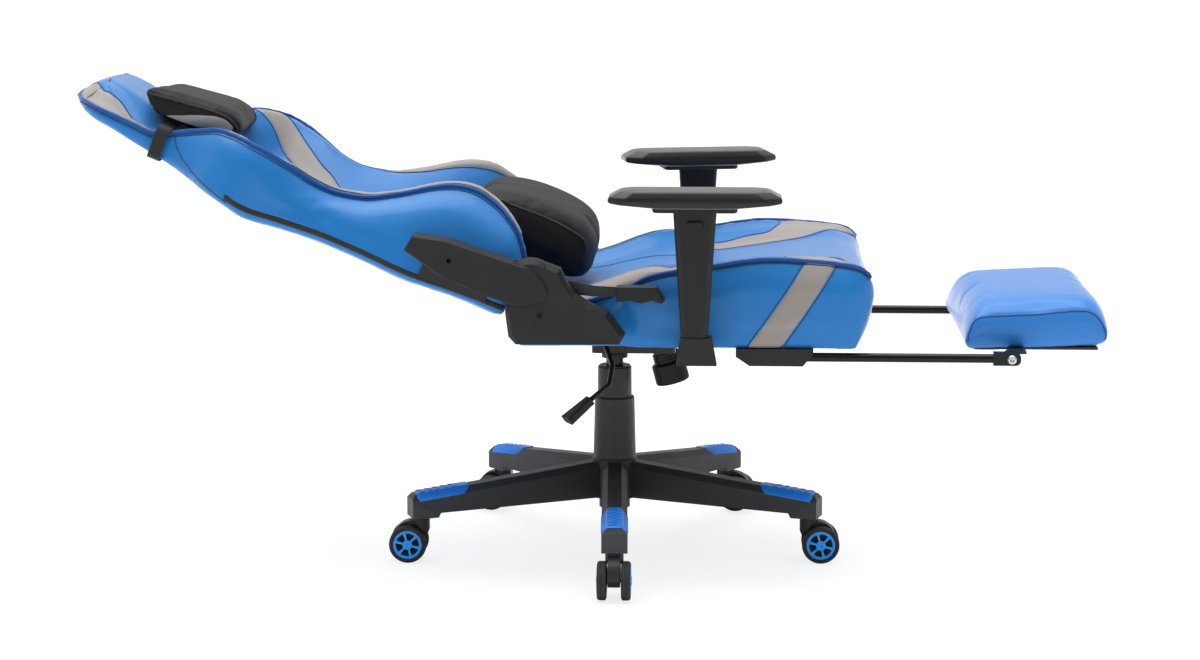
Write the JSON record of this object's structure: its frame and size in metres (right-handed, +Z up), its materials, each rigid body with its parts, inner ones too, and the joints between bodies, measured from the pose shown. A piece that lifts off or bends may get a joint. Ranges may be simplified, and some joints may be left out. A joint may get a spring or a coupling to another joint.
{
  "type": "gaming chair",
  "caption": "Racing-style gaming chair with reclining back, slide-out footrest, height-adjustable armrests, gas lift, tilt mechanism and star castor base.",
  "frame": {"origin": "on the floor under the gas lift axis, at the centre of the star base", "axes": "+X the way the sitter faces, +Y the sitter's left, +Z up"},
  "size_m": [1.6254, 0.7373, 0.7563],
  "materials": {
    "base_plastic": "fine matte texture",
    "insert_plastic": null,
    "hood_plastic": "satin",
    "wheel_plastic": "satin tread",
    "steel": "zinc plated",
    "black_steel": "powder coat",
    "cover_plastic": "matte",
    "rail_metal": "gloss black",
    "seat_leather": "padded cushion in grained synthetic leather, grey bands",
    "pillow_fabric": "padded pillow, soft black synthetic leather",
    "strap_webbing": "woven webbing",
    "pad_foam": "soft moulded polyurethane"
  },
  "bodies": {
    "base": {"star_base": "base_plastic", "base_inserts": "insert_plastic", "castor_stems": "steel", "lift_column": "black_steel", "lift_cover": "cover_plastic"},
    "lift_rod": {"piston_rod": "steel"},
    "mechanism": {"gas_cylinder": "steel", "lift_collar": "cover_plastic", "tilt_housing": "black_steel", "spring_cover": "cover_plastic"},
    "release_pin": {"release_pin": "steel"},
    "tension_knob": {"tension_knob": "cover_plastic"},
    "gas_lever": {"gas_lever_rod": "black_steel", "gas_lever_grip": "cover_plastic"},
    "seat": {"seat_plate": "black_steel", "seat_bolts": "steel", "seat_frame": "black_steel", "seat_cushion": "seat_leather", "footrest_guides": "cover_plastic", "fixed_recliner_plates": "black_steel", "lower_hinge_covers": "cover_plastic", "arm_brackets": "black_steel", "arm_feet": "cover_plastic", "arm_columns": "black_steel"},
    "back": {"back_frame": "black_steel", "back_cushion": "seat_leather", "moving_recliner_plates": "black_steel", "upper_hinge_covers": "cover_plastic", "headrest_pillow": "pillow_fabric", "headrest_strap": "strap_webbing"},
    "recline_lever": {"recline_shaft": "black_steel", "recline_handle": "cover_plastic"},
    "lumbar_pillow": {"lumbar_pillow": "pillow_fabric"},
    "footrest_rails": {"footrest_rails": "rail_metal", "footrest_pivots": "steel"},
    "footrest": {"footrest_bracket": "black_steel", "footrest_pad": "seat_leather"},
    "castor_0": {"castor_hood_0": "hood_plastic"},
    "castor_0_left": {"castor_0_wheel_left": "wheel_plastic"},
    "castor_0_right": {"castor_0_wheel_right": "wheel_plastic"},
    "castor_1": {"castor_hood_1": "hood_plastic"},
    "castor_1_left": {"castor_1_wheel_left": "wheel_plastic"},
    "castor_1_right": {"castor_1_wheel_right": "wheel_plastic"},
    "castor_2": {"castor_hood_2": "hood_plastic"},
    "castor_2_left": {"castor_2_wheel_left": "wheel_plastic"},
    "castor_2_right": {"castor_2_wheel_right": "wheel_plastic"},
    "castor_3": {"castor_hood_3": "hood_plastic"},
    "castor_3_left": {"castor_3_wheel_left": "wheel_plastic"},
    "castor_3_right": {"castor_3_wheel_right": "wheel_plastic"},
    "castor_4": {"castor_hood_4": "hood_plastic"},
    "castor_4_left": {"castor_4_wheel_left": "wheel_plastic"},
    "castor_4_right": {"castor_4_wheel_right": "wheel_plastic"},
    "arm_right": {"arm_sleeve_right": "cover_plastic"},
    "arm_button_right": {"arm_button_right": "cover_plastic"},
    "pad_carrier_right": {"pad_carrier_right": "cover_plastic"},
    "arm_pad_right": {"arm_pad_right": "pad_foam"},
    "arm_left": {"arm_sleeve_left": "cover_plastic"},
    "arm_button_left": {"arm_button_left": "cover_plastic"},
    "pad_carrier_left": {"pad_carrier_left": "cover_plastic"},
    "arm_pad_left": {"arm_pad_left": "pad_foam"}
  },
  "joints": [
    {"name": "castor_0_swivel", "type": "hinge", "parent": "base", "child": "castor_0", "pos_m": [0.01195, -0.32578, 0.0715], "axis": [0, 0, 1], "continuous": true},
    {"name": "castor_0_left_roll", "type": "hinge", "parent": "castor_0", "child": "castor_0_left", "pos_m": [0.01195, -0.34478, 0.03], "axis": [1, 0, 0], "continuous": true},
    {"name": "castor_0_right_roll", "type": "hinge", "parent": "castor_0", "child": "castor_0_right", "pos_m": [0.01195, -0.34478, 0.03], "axis": [1, 0, 0], "continuous": true},
    {"name": "castor_1_swivel", "type": "hinge", "parent": "base", "child": "castor_1", "pos_m": [0.31353, -0.08931, 0.0715], "axis": [0, 0, 1], "continuous": true},
    {"name": "castor_1_left_roll", "type": "hinge", "parent": "castor_1", "child": "castor_1_left", "pos_m": [0.33253, -0.08931, 0.03], "axis": [0, 1, 0], "continuous": true},
    {"name": "castor_1_right_roll", "type": "hinge", "parent": "castor_1", "child": "castor_1_right", "pos_m": [0.33253, -0.08931, 0.03], "axis": [0, 1, 0], "continuous": true},
    {"name": "castor_2_swivel", "type": "hinge", "parent": "base", "child": "castor_2", "pos_m": [0.18182, 0.27058, 0.0715], "axis": [0, 0, 1], "continuous": true},
    {"name": "castor_2_left_roll", "type": "hinge", "parent": "castor_2", "child": "castor_2_left", "pos_m": [0.20064, 0.26794, 0.03], "axis": [0.1392, 0.9903, 0], "continuous": true},
    {"name": "castor_2_right_roll", "type": "hinge", "parent": "castor_2", "child": "castor_2_right", "pos_m": [0.20064, 0.26794, 0.03], "axis": [0.1392, 0.9903, 0], "continuous": true},
    {"name": "castor_3_swivel", "type": "hinge", "parent": "base", "child": "castor_3", "pos_m": [-0.20115, 0.25654, 0.0715], "axis": [0, 0, 1], "continuous": true},
    {"name": "castor_3_left_roll", "type": "hinge", "parent": "castor_3", "child": "castor_3_left", "pos_m": [-0.21997, 0.25918, 0.03], "axis": [-0.1392, -0.9903, 0], "continuous": true},
    {"name": "castor_3_right_roll", "type": "hinge", "parent": "castor_3", "child": "castor_3_right", "pos_m": [-0.21997, 0.25918, 0.03], "axis": [-0.1392, -0.9903, 0], "continuous": true},
    {"name": "castor_4_swivel", "type": "hinge", "parent": "base", "child": "castor_4", "pos_m": [-0.30615, -0.11203, 0.0715], "axis": [0, 0, 1], "continuous": true},
    {"name": "castor_4_left_roll", "type": "hinge", "parent": "castor_4", "child": "castor_4_left", "pos_m": [-0.32515, -0.11203, 0.03], "axis": [0, -1, 0], "continuous": true},
    {"name": "castor_4_right_roll", "type": "hinge", "parent": "castor_4", "child": "castor_4_right", "pos_m": [-0.32515, -0.11203, 0.03], "axis": [0, -1, 0], "continuous": true},
    {"name": "seat_swivel", "type": "hinge", "parent": "base", "child": "lift_rod", "pos_m": [0, 0, 0.1], "axis": [0, 0, 1], "continuous": true},
    {"name": "seat_height", "type": "slide", "parent": "lift_rod", "child": "mechanism", "axis": [0, 0, 1], "range_m": [0, 0.08]},
    {"name": "release_pin_press", "type": "slide", "parent": "mechanism", "child": "release_pin", "axis": [0, 0, -1], "range_m": [0, 0.0046], "stiffness_N_per_m": 800, "springref_m": -0.003},
    {"name": "gas_lever_lift", "type": "hinge", "parent": "mechanism", "child": "gas_lever", "pos_m": [-0.014, -0.052, 0.3475], "axis": [-1, 0, 0], "range_deg": [0, 5], "stiffness_Nm_per_rad": 4, "springref_deg": -14.32},
    {"name": "tension_knob_turn", "type": "hinge", "parent": "mechanism", "child": "tension_knob", "pos_m": [0.08, 0, 0.328], "axis": [0.2588, 0, -0.9659], "range_deg": [-720, 720]},
    {"name": "seat_tilt", "type": "hinge", "parent": "mechanism", "child": "seat", "pos_m": [0.045, 0, 0.352], "axis": [0, -1, 0], "range_deg": [0, 11], "stiffness_Nm_per_rad": 220, "springref_deg": -25.78},
    {"name": "back_recline", "type": "hinge", "parent": "seat", "child": "back", "pos_m": [-0.117, 0, 0.472], "axis": [0, 1, 0], "range_deg": [0, 65]},
    {"name": "recline_lever_pull", "type": "hinge", "parent": "seat", "child": "recline_lever", "pos_m": [-0.117, 0, 0.472], "axis": [0, -1, 0], "range_deg": [0, 22], "stiffness_Nm_per_rad": 6, "springref_deg": -14.32},
    {"name": "lumbar_pillow_ride", "type": "slide", "parent": "back", "child": "lumbar_pillow", "axis": [-0.9272, 0, 0.3746], "range_m": [0, 0.075]},
    {"name": "footrest_slide", "type": "slide", "parent": "seat", "child": "footrest_rails", "axis": [1, 0, 0], "range_m": [-0.26, 0]},
    {"name": "footrest_flip", "type": "hinge", "parent": "footrest_rails", "child": "footrest", "pos_m": [0.614, 0, 0.356], "axis": [0, 1, 0], "range_deg": [0, 180]},
    {"name": "arm_right_height", "type": "slide", "parent": "seat", "child": "arm_right", "axis": [0, 0, 1], "range_m": [0, 0.07]},
    {"name": "arm_right_button_press", "type": "slide", "parent": "arm_right", "child": "arm_button_right", "axis": [0, 1, 0], "range_m": [0, 0.0025], "stiffness_N_per_m": 600, "springref_m": -0.002},
    {"name": "arm_right_pad_swivel", "type": "hinge", "parent": "arm_right", "child": "pad_carrier_right", "pos_m": [0.131, -0.297, 0.588], "axis": [0, 0, 1], "range_deg": [-15, 15]},
    {"name": "arm_right_pad_slide", "type": "slide", "parent": "pad_carrier_right", "child": "arm_pad_right", "axis": [1, 0, 0], "range_m": [-0.015, 0.03]},
    {"name": "arm_left_height", "type": "slide", "parent": "seat", "child": "arm_left", "axis": [0, 0, 1], "range_m": [0, 0.07]},
    {"name": "arm_left_button_press", "type": "slide", "parent": "arm_left", "child": "arm_button_left", "axis": [0, -1, 0], "range_m": [0, 0.0025], "stiffness_N_per_m": 600, "springref_m": -0.002},
    {"name": "arm_left_pad_swivel", "type": "hinge", "parent": "arm_left", "child": "pad_carrier_left", "pos_m": [0.131, 0.297, 0.588], "axis": [0, 0, 1], "range_deg": [-27, 3]},
    {"name": "arm_left_pad_slide", "type": "slide", "parent": "pad_carrier_left", "child": "arm_pad_left", "axis": [0.9781, 0.2079, 0], "range_m": [-0.015, 0.03]}
  ],
  "couplings": [
    {"joint": "release_pin_press", "follows": "gas_lever_lift", "m_per_rad": 0.052},
    {"joint": "lumbar_pillow_ride", "follows": "back_recline", "m_per_rad": 0.065},
    {"joint": "footrest_flip", "follows": "footrest_slide", "rad_per_m": -12.083}
  ]
}
